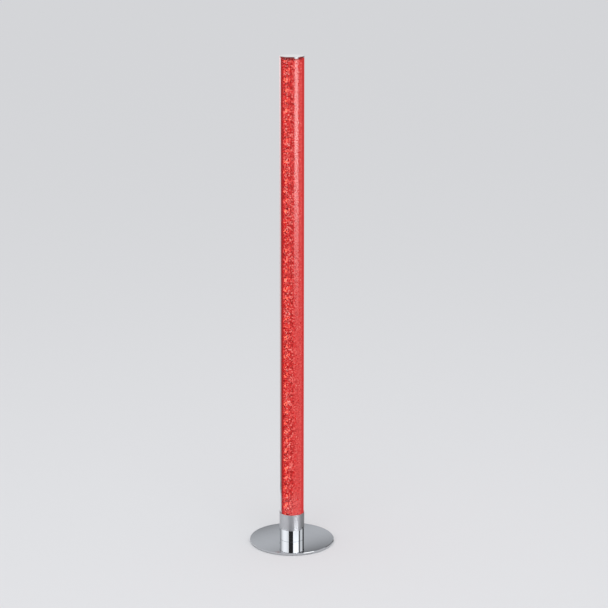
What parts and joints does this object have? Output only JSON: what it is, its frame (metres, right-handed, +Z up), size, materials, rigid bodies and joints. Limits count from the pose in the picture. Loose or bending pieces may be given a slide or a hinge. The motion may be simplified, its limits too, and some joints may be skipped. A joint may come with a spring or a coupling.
{
  "type": "floor lamp",
  "caption": "Free-standing light column with a clear crackle-effect cover over LEDs, a bright metal back, a satin collar and a chromed cup on a round chromed foot.",
  "frame": {"origin": "middle of the footprint, on the floor", "axes": "+Z up along the column, -Y towards the light side, +Y towards the metal back and the inlet"},
  "size_m": [0.2, 0.2, 1.155],
  "materials": {
    "foam": "matt closed cell foam",
    "chrome_plate": "mirror chrome on steel plate",
    "chrome_cup": "mirror chrome on turned steel",
    "chrome_cap": "mirror chrome on pressed steel",
    "satin_steel": "satin brushed round the collar",
    "zinc_steel": "zinc plated",
    "black_steel": "blackened",
    "bright_aluminium": "polished extrusion",
    "clear_acrylic": "clear, glossy",
    "crackle_film": "clear film with a crackle, lit red",
    "led_package": "white package with a clear window",
    "white_board": "white solder mask",
    "heat_tape": "matt",
    "circuit_board": "green solder mask",
    "chip_resin": "moulded resin",
    "receiver_resin": "dark clear resin",
    "capacitor_sleeve": "shrink sleeve",
    "terminal_plastic": "moulded",
    "white_plastic": "moulded",
    "black_plastic": "moulded, fine grain",
    "holder_plastic": "moulded",
    "wire_sleeve": "soft plastic sleeve",
    "contact_brass": "drawn, bright",
    "nickel_brass": "nickel plated"
  },
  "bodies": {
    "root": {"floor_pad": "foam", "base_plate": "chrome_plate", "base_screws": "zinc_steel", "socket_cup": "chrome_cup", "nut_plate": "zinc_steel", "dc_jack_body": "black_plastic", "dc_jack_pin": "contact_brass", "dc_jack_contact": "contact_brass", "dc_jack_nut": "nickel_brass", "board_spacers": "nickel_brass", "controller_board": "circuit_board", "board_screws": "zinc_steel", "microcontroller": "chip_resin", "voltage_regulator": "chip_resin", "driver_transistors": "chip_resin", "board_resistors": "chip_resin", "buffer_capacitor": "capacitor_sleeve", "supply_terminal": "terminal_plastic", "led_connector": "white_plastic", "led_plug": "white_plastic", "led_harness": "wire_sleeve", "supply_leads": "wire_sleeve", "collar": "satin_steel", "set_screws": "black_steel", "lower_holder": "holder_plastic", "lower_holder_screws": "zinc_steel", "back_shell": "bright_aluminium", "front_cover": "clear_acrylic", "crystal_film": "crackle_film", "led_tape_lower": "heat_tape", "led_tape_upper": "heat_tape", "led_board_lower": "white_board", "led_board_upper": "white_board", "rgb_leds_lower": "led_package", "rgb_leds_upper": "led_package", "led_resistors_lower": "chip_resin", "led_resistors_upper": "chip_resin", "board_link": "wire_sleeve", "remote_receiver": "receiver_resin", "upper_holder": "holder_plastic", "upper_holder_screws": "zinc_steel", "cap_tape": "foam", "top_cap": "chrome_cap"}
  },
  "joints": []
}
